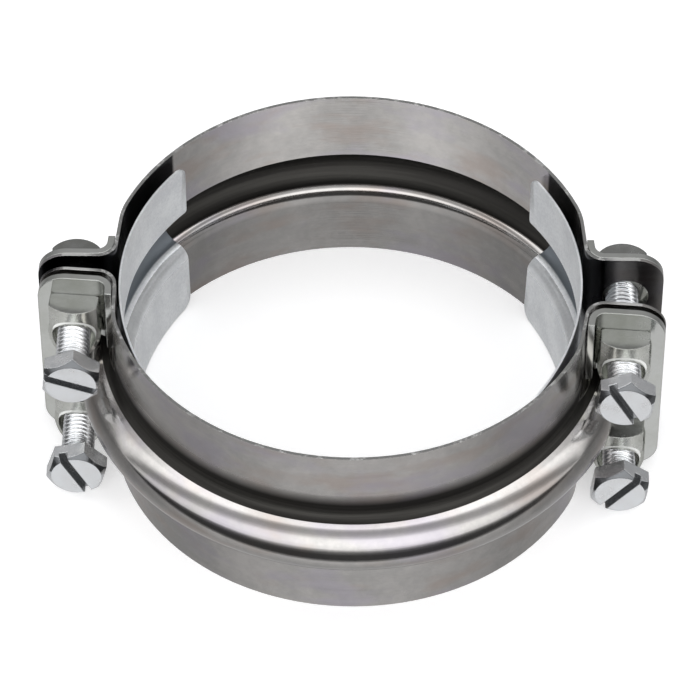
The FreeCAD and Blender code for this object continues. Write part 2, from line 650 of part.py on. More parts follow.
def screw(name, corner, placement):
    """A hexagon screw along +Y from the underside of its head, with a slot in the head's face."""
    body = doc.addObject("PartDesign::Body", name)
    body.Label = name
    corner_rad = size("head_flats") / math.sqrt(3)
    outline = add_sketch(body, "Hexagon", "XZ_Plane")
    points = [polar((0, 0), corner_rad, 30 + 60 * k) for k in range(6)]
    sides = [line(outline, points[k], points[(k + 1) % 6]) for k in range(6)]
    ring = circle(outline, (0, 0), 2 * corner_rad, construction=True)
    join(outline, ring, CENTRE, *ORIGIN)
    for k in range(6):
        join(outline, sides[k], END, sides[(k + 1) % 6], START)
        outline.addConstraint(Sketcher.Constraint("PointOnObject", sides[k], START, ring))
    for k in range(5):
        outline.addConstraint(Sketcher.Constraint("Equal", sides[k], sides[k + 1]))
    outline.addConstraint(Sketcher.Constraint("Vertical", sides[5]))
    bind(outline, "Diameter", (ring,), 2 * corner_rad, "{head_flats} * 2 / sqrt(3)")
    outline.setExpression("AttachmentOffset.Rotation.Angle", cells(f"{{{corner}_turn}} * 1deg"))
    pad(body, outline, "Head", "{head_height}", symmetric=False)
    shank = add_sketch(body, "Shank", "YZ_Plane")
    radius = size("screw_dia") / 2
    length = size("screw_length")
    chamfer = size("point_chamfer")
    under = -size("head_height") / 2
    corners = [
        (under, 0),
        (under, radius),
        (length - chamfer, radius),
        (length, radius - chamfer),
        (length, 0),
    ]
    edges = [line(shank, corners[k], corners[(k + 1) % 5]) for k in range(5)]
    for k in range(5):
        join(shank, edges[k], END, edges[(k + 1) % 5], START)
    for k, kind in ((0, "Vertical"), (1, "Horizontal"), (3, "Vertical")):
        shank.addConstraint(Sketcher.Constraint(kind, edges[k]))
    for k in (0, 4):
        shank.addConstraint(Sketcher.Constraint("PointOnObject", edges[k], START, -1))
    bind(shank, "DistanceX", (edges[0], START), under, "-{head_height} / 2")
    bind(shank, "DistanceY", (edges[0], END), radius, "{screw_dia} / 2")
    bind(shank, "DistanceX", (edges[3], END), length, "{screw_length}")
    bind(shank, "DistanceX", (edges[2], START, edges[2], END), chamfer, "{point_chamfer}")
    bind(shank, "DistanceY", (edges[2], END, edges[2], START), chamfer, "{point_chamfer}")
    thread = body.newObject("PartDesign::Revolution", "Thread")
    thread.Profile = shank
    thread.ReferenceAxis = (shank, ["H_Axis"])
    thread.Angle = 360
    taper = add_sketch(body, "Chamfer", "YZ_Plane")
    face_rad = size("head_face") / 2
    slope = math.radians(size("head_slope"))
    outer_rad = corner_rad + BEYOND
    face = -size("head_height")
    tip = (face + (outer_rad - face_rad) * math.tan(slope), outer_rad)
    wedge = [(face, face_rad), tip, (face, outer_rad)]
    cuts = [line(taper, wedge[k], wedge[(k + 1) % 3]) for k in range(3)]
    for k in range(3):
        join(taper, cuts[k], END, cuts[(k + 1) % 3], START)
    taper.addConstraint(Sketcher.Constraint("Horizontal", cuts[1]))
    taper.addConstraint(Sketcher.Constraint("Vertical", cuts[2]))
    bind(taper, "DistanceX", (cuts[0], START), face, "-{head_height}")
    bind(taper, "DistanceY", (cuts[0], START), face_rad, "{head_face} / 2")
    bind(taper, "DistanceY", (cuts[0], END), outer_rad, f"{{head_flats}} / sqrt(3) + {BEYOND}")
    bind(taper, "Angle", (-2, cuts[0]), -slope, "-{head_slope} * 1deg")
    rim = body.newObject("PartDesign::Groove", "HeadChamfer")
    rim.Profile = taper
    rim.ReferenceAxis = (taper, ["H_Axis"])
    rim.Angle = 360
    slot_sketch = add_sketch(body, "SlotSketch", "XZ_Plane")
    slot_half = size("slot_width") / 2
    rectangle(
        slot_sketch,
        (-corner_rad - BEYOND, -slot_half),
        (corner_rad + BEYOND, slot_half),
        (f"-({{head_flats}} / sqrt(3) + {BEYOND})", "-{slot_width} / 2"),
        (f"{{head_flats}} / sqrt(3) + {BEYOND}", "{slot_width} / 2"),
    )
    slot_sketch.setExpression("AttachmentOffset.Base.z", cells("{head_height}"))
    slot_sketch.setExpression("AttachmentOffset.Rotation.Angle", cells(f"-{{{corner}_slot}} * 1deg"))
    slot = body.newObject("PartDesign::Pocket", "Slot")
    slot.Profile = slot_sketch
    slot.setExpression("Length", cells("{slot_depth}"))
    body.Placement = placement
    return body


def strip_stand():
    """A strip's outside from the ring's centre, at the joint."""
    return size("pipe_dia") / 2 - size("strip_middle")


def strip_radius():
    """Radius of a strip's outside, which is flatter than the pipe."""
    end_rad = size("pipe_dia") / 2 - size("strip_gap")
    half = size("strip_chord") / 2
    rise = strip_stand() - math.sqrt(end_rad**2 - half**2)
    return (half**2 + rise**2) / (2 * rise)


RISE = (
    "({pipe_dia} / 2 - {strip_middle}"
    " - sqrt(({pipe_dia} / 2 - {strip_gap}) ^ 2 - {strip_chord} ^ 2 / 4))"
)
STRIP_RADIUS = f"(({{strip_chord}} ^ 2 / 4 + {RISE} ^ 2) / (2 * {RISE}))"


def strip_face(sketch, depth, depth_cells):
    """One face of a strip's section, from its top to its bottom; depth is how far inside it lies.

    Returns the top and bottom lines. The channel follows the half shell's bead.
    """
    radius = strip_radius()
    level = size("bead_level")
    gap = size("strip_gap")
    thick = size("sheet")
    crown_stand = thick + size("bead_stand") - size("bead_rad") + gap
    root_stand = thick + size("bead_root") + gap
    crown_rad = size("bead_rad") - thick - gap - depth
    spread = math.sqrt((size("bead_rad") + size("bead_root")) ** 2 - (root_stand - crown_stand) ** 2)
    lean = math.degrees(math.atan2(spread, root_stand - crown_stand))
    face = radius - depth
    half = size("strip_height") / 2
    crown = arc(sketch, (radius + crown_stand, level), crown_rad, -lean, lean)
    bind(
        sketch,
        "Radius",
        (crown,),
        crown_rad,
        f"{{bead_rad}} - {{sheet}} - {{strip_gap}} - {depth_cells}",
    )
    bind(
        sketch,
        "DistanceX",
        (crown, CENTRE),
        radius + crown_stand,
        f"{STRIP_RADIUS} + {{sheet}} + {{bead_stand}} - {{bead_rad}} + {{strip_gap}}",
    )
    bind(sketch, "DistanceY", (crown, CENTRE), level, "{bead_level}")
    ends = []
    for sign in (1, -1):
        centre = (radius + root_stand, level + sign * spread)
        near, far = (180, 180 + lean) if sign > 0 else (180 - lean, 180)
        root = arc(sketch, centre, root_stand + depth, near, far)
        wall_end, crown_end = (START, END) if sign > 0 else (END, START)
        tangent(sketch, crown, END if sign > 0 else START, root, crown_end)
        bind(
            sketch,
            "Radius",
            (root,),
            root_stand + depth,
            f"{{sheet}} + {{bead_root}} + {{strip_gap}} + {depth_cells}",
        )
        bind(
            sketch,
            "DistanceX",
            (root, CENTRE),
            radius + root_stand,
            f"{STRIP_RADIUS} + {{sheet}} + {{bead_root}} + {{strip_gap}}",
        )
        wall = line(sketch, (face, centre[1]), (face, sign * half))
        tangent(sketch, root, wall_end, wall, START)
        bind(sketch, "DistanceY", (wall, END), sign * half, f"{sign} * {{strip_height}} / 2")
        sketch.addConstraint(Sketcher.Constraint("Vertical", wall))
        ends.append(wall)
    return ends


def seal_strip(name, placement):
    """A springy strip across a joint, rolled to a flatter arc than the half shells."""
    body = doc.addObject("PartDesign::Body", name)
    body.Label = name
    section = add_sketch(body, "Section", "XZ_Plane")
    outer = strip_face(section, 0.0, "0")
    inner = strip_face(section, size("strip_sheet"), "{strip_sheet}")
    radius = strip_radius()
    half = size("strip_height") / 2
    for k, sign in enumerate((1, -1)):
        edge = line(section, (radius, sign * half), (radius - size("strip_sheet"), sign * half))
        join(section, outer[k], END, edge, START)
        join(section, inner[k], END, edge, END)
    rolled = body.newObject("PartDesign::Revolution", "Rolled")
    rolled.Profile = section
    rolled.ReferenceAxis = (section, ["V_Axis"])
    rolled.Midplane = True
    rolled.setExpression("Angle", cells(f"2 * asin({{strip_chord}} / 2 / {STRIP_RADIUS})"))
    doc.recompute()

    def at_corner(point):
        return abs(abs(point.z) - half) < TINY

    round_corners(body, "StripCorners", size("strip_sheet"), at_corner, "{strip_corner}")
    body.Placement = placement
    return body


# Assembly


def turned(axis, degrees):
    return Placement(Vector(), Rotation(axis, degrees))


def moved(x, y, z):
    return Placement(Vector(x, y, z), Rotation())


UP = Vector(0, 0, 1)
ALONG = Vector(0, 1, 0)
TURNED_OVER = turned(ALONG, 180)
FRONT_TURN = 180 + size("front_turn")
FRONT = moved(size("front_shift_x"), size("front_shift_y"), 0) * turned(UP, FRONT_TURN)
EAR_OUTSIDE = size("ear_plane") + size("sheet") / 2

rear_half = half_shell("rear_half_shell", Placement())
front_half = half_shell("front_half_shell", FRONT)
pieces = [rear_half, front_half]

# Each bracket lies on the ear's outside. The front ones stand off it by their gap.
# Seen from the front, the front half shell's own right side is on the left.
for half_name, frame, own_right, stand in (
    ("rear", Placement(), "right", 0.0),
    ("front", FRONT, "left", size("front_bracket_gap")),
):
    for side in ("left", "right"):
        sense = 1 if side == own_right else -1
        place = frame * moved(0, stand, 0)
        pieces.append(bracket(f"{half_name}_{side}_bracket", place, sense))


def screw_axis(side, level):
    """Where a screw runs: it hangs down in its holes."""
    offset = from_pipe("left_screw_offset" if side < 0 else "right_screw_offset")
    drop = (size("hole_dia") - size("screw_dia")) / 2 - size("hang_gap")
    return side * offset, hole_level(level) - drop


def front_crossing(x, depth):
    """The front half shell's own x where a screw's axis crosses a plane at that depth."""
    angle = math.radians(FRONT_TURN)
    return (x - size("front_shift_x") + depth * math.sin(angle)) / math.cos(angle)


for corner, (side, level) in CORNERS.items():
    x, z = screw_axis(side, level)
    seat = EAR_OUTSIDE + size("bracket_sheet")
    bore = size("screw_dia") + 2 * size("thread_gap")
    nut_cells = "{screw_dia} + 2 * {thread_gap}"
    pieces.append(crowned_block(f"{corner}_nut", "nut", bore, nut_cells, moved(x, seat, z)))
    seat += size("front_bracket_gap")
    own_x = front_crossing(x, seat + size("saddle_crown") / 2)
    saddle_drop = (size("saddle_bore") - size("screw_dia")) / 2 - size("saddle_hang_gap")
    place = FRONT * moved(own_x, seat, z - saddle_drop)
    pieces.append(
        crowned_block(f"{corner}_saddle", "saddle", size("saddle_bore"), "{saddle_bore}", place)
    )
    pieces.append(screw(f"{corner}_screw", corner, moved(x, -size(f"{corner}_head"), z)))

strip_centre = moved(strip_stand() - strip_radius(), 0, 0)
for side, start in (("left", 180), ("right", 0)):
    place = turned(UP, start + size(f"{side}_strip_turn")) * strip_centre
    pieces.append(seal_strip(f"{side}_seal_strip", place))

doc.recompute()
for item in doc.Objects:
    if "Invalid" in item.State or "Error" in item.State:
        raise RuntimeError(f"{item.Label} did not build: {item.State}")
os.makedirs("parts", exist_ok=True)
for piece in pieces:
    if piece.Shape.isNull() or not piece.Shape.isValid() or len(piece.Shape.Solids) != 1:
        raise RuntimeError(f"{piece.Label} is not one valid solid")
    piece.Shape.exportStep(f"parts/{piece.Label}.step")
    print(f"{piece.Label}: {piece.Shape.Volume:.1f} mm3")
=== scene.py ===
import math

import bmesh
import bpy
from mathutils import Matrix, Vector


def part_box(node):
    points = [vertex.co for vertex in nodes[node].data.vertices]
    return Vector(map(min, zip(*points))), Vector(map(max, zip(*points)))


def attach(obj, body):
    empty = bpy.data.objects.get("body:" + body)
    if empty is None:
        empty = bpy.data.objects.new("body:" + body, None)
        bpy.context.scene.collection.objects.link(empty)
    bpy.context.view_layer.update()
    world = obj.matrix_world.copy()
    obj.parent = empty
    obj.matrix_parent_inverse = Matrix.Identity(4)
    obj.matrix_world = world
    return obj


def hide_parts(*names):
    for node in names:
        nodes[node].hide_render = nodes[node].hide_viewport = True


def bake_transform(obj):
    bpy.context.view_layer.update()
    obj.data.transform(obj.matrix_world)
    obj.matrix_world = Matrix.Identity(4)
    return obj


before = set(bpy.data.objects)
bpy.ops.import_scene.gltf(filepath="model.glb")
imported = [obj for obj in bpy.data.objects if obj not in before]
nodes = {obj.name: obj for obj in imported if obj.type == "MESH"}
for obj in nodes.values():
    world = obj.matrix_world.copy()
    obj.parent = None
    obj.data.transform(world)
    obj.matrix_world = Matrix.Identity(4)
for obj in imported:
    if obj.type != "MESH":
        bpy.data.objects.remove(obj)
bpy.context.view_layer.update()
mm = 0.001
wallRadius = 58.0  # mm, about the half shells' wall, where their streaks are laid round
corners = ["upper_left", "lower_left", "upper_right", "lower_right"]

# camera, at the photograph's angle

cameraPlace = {
    "lookAt": (-0.13, -1.62, 0.0),  # mm
    "standBack": (9.0, -739.1, 814.6),  # mm
    "lens": 235.49,
    "sensor": 36.0,
    "clip": (0.01, 20.0),  # m
}


def placeCamera(place):
    data = bpy.data.cameras.new("photoCamera")
    data.lens = place["lens"]
    data.sensor_width = place["sensor"]
    data.clip_start, data.clip_end = place["clip"]
    camera = bpy.data.objects.new("photoCamera", data)
    bpy.context.scene.collection.objects.link(camera)
    back = Vector(place["standBack"]) * mm
    camera.location = Vector(place["lookAt"]) * mm + back
    camera.rotation_mode = "QUATERNION"
    camera.rotation_quaternion = (-back).to_track_quat("-Z", "Y")
    bpy.context.scene.camera = camera


placeCamera(cameraPlace)
print("camera placed")

# material helpers


class Recipe:
    # a material under construction: its nodes are added one after another

    def __init__(self, name):
        self.material = bpy.data.materials.new(name)
        self.material.use_nodes = True
        self.tree = self.material.node_tree
        self.shader = self.tree.nodes["Principled BSDF"]
        self.coords = self.tree.nodes.new("ShaderNodeTexCoord").outputs["Object"]

    def add(self, kind, **settings):
        node = self.tree.nodes.new(kind)
        for key, value in settings.items():
            setattr(node, key, value)
        return node

    def plug(self, source, target):
        self.tree.links.new(source, target)

    def feed(self, socket, value):
        if isinstance(value, bpy.types.NodeSocket):
            self.plug(value, socket)
        else:
            socket.default_value = value

    def maths(self, operation, first, second=0.0):
        node = self.add("ShaderNodeMath", operation=operation)
        self.feed(node.inputs[0], first)
        self.feed(node.inputs[1], second)
        return node.outputs[0]

    def stretched(self, scale, source=None):
        node = self.add("ShaderNodeMapping")
        self.plug(source or self.coords, node.inputs["Vector"])
        node.inputs["Scale"].default_value = scale
        return node.outputs["Vector"]

    def noise(self, vector, scale, detail=3.0, roughness=0.5):
        node = self.add("ShaderNodeTexNoise")
        self.plug(vector, node.inputs["Vector"])
        node.inputs["Scale"].default_value = scale
        node.inputs["Detail"].default_value = detail
        node.inputs["Roughness"].default_value = roughness
        return node.outputs["Fac"]

    def spread(self, value, low, high, outLow=0.0, outHigh=1.0):
        node = self.add("ShaderNodeMapRange")
        self.feed(node.inputs["Value"], value)
        for key, number in (("From Min", low), ("From Max", high), ("To Min", outLow), ("To Max", outHigh)):
            node.inputs[key].default_value = number
        return node.outputs["Result"]

    def blendColours(self, factor, first, second, mode="MIX"):
        node = self.add("ShaderNodeMix", data_type="RGBA", blend_type=mode)
        self.feed(node.inputs["Factor"], factor)
        for socket, colour in ((node.inputs["A"], first), (node.inputs["B"], second)):
            self.feed(socket, colour if isinstance(colour, bpy.types.NodeSocket) else (*colour, 1.0))
        return node.outputs["Result"]

    def bump(self, height, distance, strength=1.0, under=None):
        node = self.add("ShaderNodeBump")
        self.plug(height, node.inputs["Height"])
        node.inputs["Distance"].default_value = distance
        node.inputs["Strength"].default_value = strength
        if under:
            self.plug(under, node.inputs["Normal"])
        return node.outputs["Normal"]

    def softEdges(self, radius):
        node = self.add("ShaderNodeBevel", samples=6)
        node.inputs["Radius"].default_value = radius
        return node.outputs["Normal"]

    def total(self, *parts):
        result = parts[0]
        for part in parts[1:]:
            result = self.maths("ADD", result, part)
        return result

    def product(self, *parts):
        result = parts[0]
        for part in parts[1:]:
            result = self.maths("MULTIPLY", result, part)
        return result

    def join(self, *parts):
        node = self.add("ShaderNodeCombineXYZ")
        for socket, part in zip(node.inputs, parts):
            self.feed(socket, part)
        return node.outputs[0]

    def length(self, first, second):
        squares = self.maths("ADD", self.maths("POWER", first, 2.0), self.maths("POWER", second, 2.0))
        return self.maths("SQRT", squares)

    def band(self, value, low, high, soft):
        # 1 between low and high, with soft shoulders
        rising = self.spread(value, low - soft, low)
        return self.maths("MULTIPLY", rising, self.spread(value, high, high + soft, 1.0, 0.0))

    def patch(self, *limits):
        # 1 where each value lies in its band
        return self.product(*[self.band(*limit) for limit in limits])

    def aroundPipe(self, middle=(0.0, 0.0)):
        # millimetres from the pipe's middle, to the side, to the rear, up and straight out
        split = self.add("ShaderNodeSeparateXYZ")
        self.plug(self.coords, split.inputs[0])
        x, y, z = [self.maths("MULTIPLY", value, 1 / mm) for value in split.outputs]
        x = self.maths("SUBTRACT", x, middle[0])
        y = self.maths("SUBTRACT", y, middle[1])
        return x, y, z, self.length(x, y)

    def unrolled(self, x, y, z, out):
        # metres round the pipe, level, and distance from its middle
        around = self.maths("MULTIPLY", self.maths("ARCTAN2", y, x), wallRadius * mm)
        return self.join(around, self.maths("MULTIPLY", z, mm), self.maths("MULTIPLY", out, mm))

    def fromPoint(self, out, level, point):
        # distance from a point that is given as out, or to the side, and up
        aside = self.maths("SUBTRACT", out, point[0])
        return self.length(aside, self.maths("SUBTRACT", level, point[1]))

    def leaning(self, x, y, out, lean, outwards=1.0):
        # a direction square to the pipe that leans up by so many degrees
        tilt = self.maths("MULTIPLY", lean, math.pi / 180)
        flat = self.maths("DIVIDE", self.product(self.maths("COSINE", tilt), outwards), out)
        return self.join(self.product(x, flat), self.product(y, flat), self.maths("SINE", tilt))

    def risingLean(self, out, steps):
        # degrees, each step adding its rise between two distances out
        return self.total(*[self.spread(out, low, high, 0.0, rise) for low, high, rise in steps])

    def blendVectors(self, factor, first, second):
        node = self.add("ShaderNodeMix", data_type="VECTOR")
        self.feed(node.inputs["Factor"], factor)
        vectors = [socket for socket in node.inputs if socket.type == "VECTOR"]
        self.plug(first, vectors[-2])
        self.plug(second, vectors[-1])
        return [socket for socket in node.outputs if socket.type == "VECTOR"][0]

    def normalPart(self, part):
        split = self.add("ShaderNodeSeparateXYZ")
        self.plug(self.add("ShaderNodeNewGeometry").outputs["True Normal"], split.inputs[0])
        return split.outputs[part]

    def facing(self, part):
        return self.maths("ABSOLUTE", self.normalPart(part))


# half shells

shellSteel = {
    "light": (0.57, 0.55, 0.53),
    "dark": (0.46, 0.45, 0.435),
    "streaks": (1.0, 4.0, 0.6),  # scale, detail and roughness of the noise, here and below
    "streakStretch": (9.0, 420.0, 40.0),
    "clouds": (38.0, 3.0, 0.55),
    "blotches": (260.0, 5.0, 0.7),
    "shares": (0.2, 0.4, 0.4),  # of streaks, clouds and blotches
    "shadeSpread": (0.41, 0.59),
    "heatTint": (0.47, 0.40, 0.36),
    "heat": (60.0, 3.0, 0.5),
    "heatStretch": (1.0, 2.5, 1.0),
    "heatSpread": (0.5, 0.68, 0.0, 0.6),
    "violetTint": (0.47, 0.44, 0.50),
    "violet": (47.0, 3.0, 0.6),
    "violetStretch": (1.0, 2.0, 1.0),
    "violetSpread": (0.5, 0.66, 0.0, 0.6),
    "cutEdge": ((0.42, 0.42, 0.41), (0.95, 0.95, 0.93)),
    "flecks": (300.0, 3.0, 0.7),  # bright flecks on the cut edge
    "fleckSpread": (0.52, 0.66),
    "rimFacing": (0.9, 0.97),  # how square the rim's face is to the pipe
    "paintedShade": (0.045, 0.043, 0.040),  # painted shade, inside the bead and just above it
    "paintedShadeStreaked": (0.09, 0.087, 0.08),
    "paintedShadeSpread": (0.48, 0.66),
    "paintedShadeRougher": 0.35,
    "paintedDeepShade": (0.022, 0.022, 0.024),  # painted deep shade, behind the strips and between the ears
    "insideFacing": (0.01, 0.04),
    "paintedInnerLight": (1.05, 1.5),  # painted light: inside, the upper wall is brightened, less so at the left
    "innerLow": 0.78,
    "polished": (0.3, 0.7, 0.12, 0.2),  # streaks from 0.3 to 0.7 give roughness from 0.12 to 0.2
    "wallRougher": 0.05,
    "grain": 0.00002,  # m
    "grainStrength": 0.5,
    "fine": (1.0, 2.0),
    "fineStretch": (60.0, 2600.0, 400.0),
    "rounded": 0.0001,  # m
}

# places on a half shell: mm out from the pipe's middle, mm up, and degrees
shellPlaces = {
    "beadMiddle": (59.2, -0.9),
    "lipMiddle": (60.5, -10.0),  # the root below the bead
    "browMiddle": (60.5, 8.2),  # the root above it
    "channel": (0.0, 6.45, 0.25),  # from the bead's middle: low, high and soft
    "channelOut": (60.9, 70.0, 0.5),
    "hollowSide": (-0.5, 0.5, 1.0, 0.0),
    "creaseFrom": (4.7, 5.2),
    "creaseFade": (10.2, 13.8, 1.0, 0.0),
    "creaseOut": (57.9, 60.25, 0.12),
    "creaseSlant": (0.2, 59.6, 59.8),  # this share of the level is added to the distance out
    "innerLightAbove": (4.0, 5.0),
    "innerLightFrom": (-48.0, -12.0),
    "darkerBelow": (-10.0, -9.0, 1.0, 0.0),
    "deepShadeAngle": 38.2,  # round from the joint
    "deepShadeSlant": -0.07,  # degrees for each mm to the right
    "deepShadeFade": 0.8,
    "earDeepShade": (60.0, 63.5, 1.0, 0.8),  # a little less on the right ears
    "rimLevel": (26.25, 26.35),
    "earsFrom": (60.0, 63.0),
    "wallFrom": (6.8, 9.2),  # from the bead's middle
    "lip": ((2.8, 3.4), (-10.0, -6.6), (57.4, 61.3)),  # radius, level and out
    "lipLean": ((58.0, 58.85, 24.0), (58.85, 59.8, 28.0), (59.8, 61.1, 23.0)),
    "shoulder": ((6.7, 7.3), (60.2, 61.36), (5.0, 6.6)),  # radius, out and level
    "shoulderLean": 72.0,
    "brow": ((2.8, 3.35), (5.7, 8.4), (57.2, 58.6)),  # radius, level and out
    "soft": 0.05,
}


def shellMottle(mix, look, unrolled, streaks):
    # rolled streaks, clouds and blotches, with heat and violet tints over them
    grains = (streaks, mix.noise(mix.coords, *look["clouds"]), mix.noise(mix.coords, *look["blotches"]))
    shade = mix.total(*[mix.maths("MULTIPLY", grain, share) for grain, share in zip(grains, look["shares"])])
    colour = mix.blendColours(mix.spread(shade, *look["shadeSpread"]), look["dark"], look["light"])
    for tint in ("heat", "violet"):
        clouds = mix.noise(mix.stretched(look[f"{tint}Stretch"], unrolled), *look[tint])
        colour = mix.blendColours(mix.spread(clouds, *look[f"{tint}Spread"]), colour, look[f"{tint}Tint"])
    return colour


def shellPaintedShade(mix, places, x, y, level, out, fromBead):
    # painted shade in the channel, on its inner side alone, and in the crease above the bead
    channel = mix.patch((fromBead, *places["channel"]), (out, *places["channelOut"]))
    outwards = mix.total(mix.product(mix.normalPart(0), x), mix.product(mix.normalPart(1), y))
    aside = mix.maths("SUBTRACT", out, places["beadMiddle"][0])
    rise = mix.maths("SUBTRACT", level, places["beadMiddle"][1])
    sideways = mix.product(mix.maths("DIVIDE", outwards, out), aside)
    away = mix.total(sideways, mix.product(mix.normalPart(2), rise))
    channel = mix.product(channel, mix.spread(away, *places["hollowSide"]))
    slant, low, high = places["creaseSlant"]
    crease = mix.product(
        mix.spread(level, *places["creaseFrom"]),
        mix.spread(level, *places["creaseFade"]),
        mix.band(out, *places["creaseOut"]),
        mix.spread(mix.total(out, mix.product(level, slant)), low, high),
    )
    return mix.maths("MAXIMUM", channel, crease)


# painted deep shade on the inside, near the joint, behind the strips and between the ears
def shellPaintedDeepShade(mix, places, x, y, inside):
    quarter = mix.maths("ARCTAN2", mix.maths("ABSOLUTE", y), mix.maths("ABSOLUTE", x))
    angle = mix.maths("MULTIPLY", quarter, 180 / math.pi)
    limit = mix.total(mix.product(x, places["deepShadeSlant"]), places["deepShadeAngle"])
    near = mix.spread(mix.maths("SUBTRACT", limit, angle), 0.0, places["deepShadeFade"])
    return mix.product(inside, near, mix.spread(x, *places["earDeepShade"]))


def shellRim(mix, look, places, x, level, colour):
    # bare cut edge: all bright at the ears, elsewhere in flecks
    atRim = mix.spread(mix.maths("ABSOLUTE", level), *places["rimLevel"])
    rim = mix.product(mix.spread(mix.facing(2), *look["rimFacing"]), atRim)
    flecks = mix.spread(mix.noise(mix.coords, *look["flecks"]), *look["fleckSpread"])
    atEars = mix.spread(mix.maths("ABSOLUTE", x), *places["earsFrom"])
    rimColour = mix.blendColours(mix.maths("MAXIMUM", flecks, atEars), *look["cutEdge"])
    return mix.blendColours(rim, colour, rimColour)


def shellNormal(mix, places, x, y, level, out, fromBead, inside, normal):
    # the lip below the channel, the shoulder over the bead and the brow above the channel
    soft = places["soft"]
    radius, height, reach = places["lip"]
    fromLip = mix.fromPoint(out, level, places["lipMiddle"])
    lip = mix.patch((fromLip, *radius, soft), (level, *height, soft), (out, *reach, soft))
    lean = mix.risingLean(out, places["lipLean"])
    normal = mix.blendVectors(lip, normal, mix.leaning(x, y, out, lean, -1.0))
    radius, reach, height = places["shoulder"]
    shoulder = mix.patch((fromBead, *radius, soft), (out, *reach, soft), (level, *height, soft))
    normal = mix.blendVectors(shoulder, normal, mix.leaning(x, y, out, places["shoulderLean"]))
    radius, height, reach = places["brow"]
    fromBrow = mix.fromPoint(out, level, places["browMiddle"])
    brow = mix.patch((fromBrow, *radius, soft), (level, *height, soft))
    brow = mix.product(brow, inside, mix.band(out, *reach, soft))
    return mix.blendVectors(brow, normal, mix.leaning(x, y, out, 0.0, -1.0))


def makeShellSteel(name, look, places, middle, inward):
    mix = Recipe(name)
    x, y, level, out = mix.aroundPipe(middle)
    unrolled = mix.unrolled(x, y, level, out)
    fromBead = mix.fromPoint(out, level, places["beadMiddle"])
    inside = mix.spread(mix.product(mix.normalPart(1), inward), *look["insideFacing"])
    streaks = mix.noise(mix.stretched(look["streakStretch"], unrolled), *look["streaks"])
    colour = shellMottle(mix, look, unrolled, streaks)
    # painted light on the upper inside wall, stronger towards the right
    upper = mix.product(inside, mix.spread(level, *places["innerLightAbove"]))
    lift = mix.spread(x, *places["innerLightFrom"], *look["paintedInnerLight"])
    colour = mix.blendColours(upper, colour, mix.join(lift, lift, lift), "MULTIPLY")
    # the inside wall below the lip is darker
    lower = mix.product(inside, mix.spread(level, *places["darkerBelow"]))
    colour = mix.blendColours(lower, colour, [look["innerLow"]] * 3, "MULTIPLY")
    # painted shade in the channel and in the crease above the bead, a little lighter along the streaks
    paintedShade = shellPaintedShade(mix, places, x, y, level, out, fromBead)
    paintedShadeTone = mix.blendColours(mix.spread(streaks, *look["paintedShadeSpread"]), look["paintedShade"], look["paintedShadeStreaked"])
    colour = mix.blendColours(paintedShade, colour, paintedShadeTone)
    # painted deep shade behind the strips and between the ears
    colour = mix.blendColours(shellPaintedDeepShade(mix, places, x, y, inside), colour, look["paintedDeepShade"])
    mix.plug(shellRim(mix, look, places, x, level, colour), mix.shader.inputs["Base Color"])
    mix.shader.inputs["Metallic"].default_value = 1.0
    fromMiddle = mix.maths("ABSOLUTE", mix.maths("SUBTRACT", level, places["beadMiddle"][1]))
    onWall = mix.spread(fromMiddle, *places["wallFrom"])
    rough = mix.total(mix.spread(streaks, *look["polished"]), mix.product(onWall, look["wallRougher"]))
    mix.plug(mix.total(rough, mix.product(paintedShade, look["paintedShadeRougher"])), mix.shader.inputs["Roughness"])
    fine = mix.noise(mix.stretched(look["fineStretch"], unrolled), *look["fine"])
    normal = mix.bump(fine, look["grain"], look["grainStrength"], mix.softEdges(look["rounded"]))
    normal = shellNormal(mix, places, x, y, level, out, fromBead, inside, normal)
    mix.plug(normal, mix.shader.inputs["Normal"])
    return mix.material


# zinc on brackets, saddles, nuts and screws

cloudSpread = (0.35, 0.65)
plateZinc = {
    "light": (0.66, 0.67, 0.65),
    "dark": (0.53, 0.54, 0.51),
    "clouds": (90.0, 4.0, 0.6),  # scale, detail and roughness of the noise, here and below
    "metallic": 1.0,
    "roughness": (0.05, 0.14),
    "grain": 0.000012,  # m
    "grainStrength": 0.35,
    "drawn": (1.0, 2.0),
    "drawnStretch": (1400.0, 1400.0, 60.0),
    "rounded": 0.0003,  # m
}
blockZinc = {
    "light": (0.80, 0.81, 0.77),
    "dark": (0.60, 0.61, 0.56),
    "clouds": (160.0, 4.0, 0.6),
    "metallic": 0.85,
    "roughness": (0.16, 0.30),
    "grain": 0.00003,  # m
    "grainStrength": 0.4,
    "pits": (1700.0, 2.0),
    "rounded": 0.00045,  # m
    "paintedShadeOnFlats": (0.42, 0.42, 0.43),
    "topFacing": (0.85, 0.97),
    "paintedHoleHighlight": (0.86, 0.87, 0.84),
    "holeHighlightReach": (4.65, 5.15, 0.1),  # painted highlight round the hole, mm from its middle: low, high and soft
    "holeHighlightFacing": (0.3, 0.5),
}
screwZinc = {
    "light": (0.95, 0.96, 0.97),
    "dark": (0.82, 0.84, 0.86),
    "clouds": (240.0, 4.0, 0.6),
    "shade": (0.05, 0.055, 0.06),  # in the slot and on the upper chamfer
    "metallic": 0.88,
    "roughness": (0.13, 0.28),
    "grain": 0.000015,  # m
    "grainStrength": 0.4,
    "pits": (2400.0, 2.0),
    "rounded": 0.0003,  # m
}


def cloudyZinc(mix, look, grain):
    # all but the colour, which is handed back
    clouds = mix.noise(mix.coords, *look["clouds"])
    mix.shader.inputs["Metallic"].default_value = look["metallic"]
    mix.plug(mix.spread(clouds, *cloudSpread, *look["roughness"]), mix.shader.inputs["Roughness"])
    normal = mix.bump(grain, look["grain"], look["grainStrength"], mix.softEdges(look["rounded"]))
    mix.plug(normal, mix.shader.inputs["Normal"])
    return mix.blendColours(mix.spread(clouds, *cloudSpread), look["dark"], look["light"])


def makePlateZinc(name, look):
    mix = Recipe(name)
    colour = cloudyZinc(mix, look, mix.noise(mix.stretched(look["drawnStretch"]), *look["drawn"]))
    mix.plug(colour, mix.shader.inputs["Base Color"])
    return mix.material


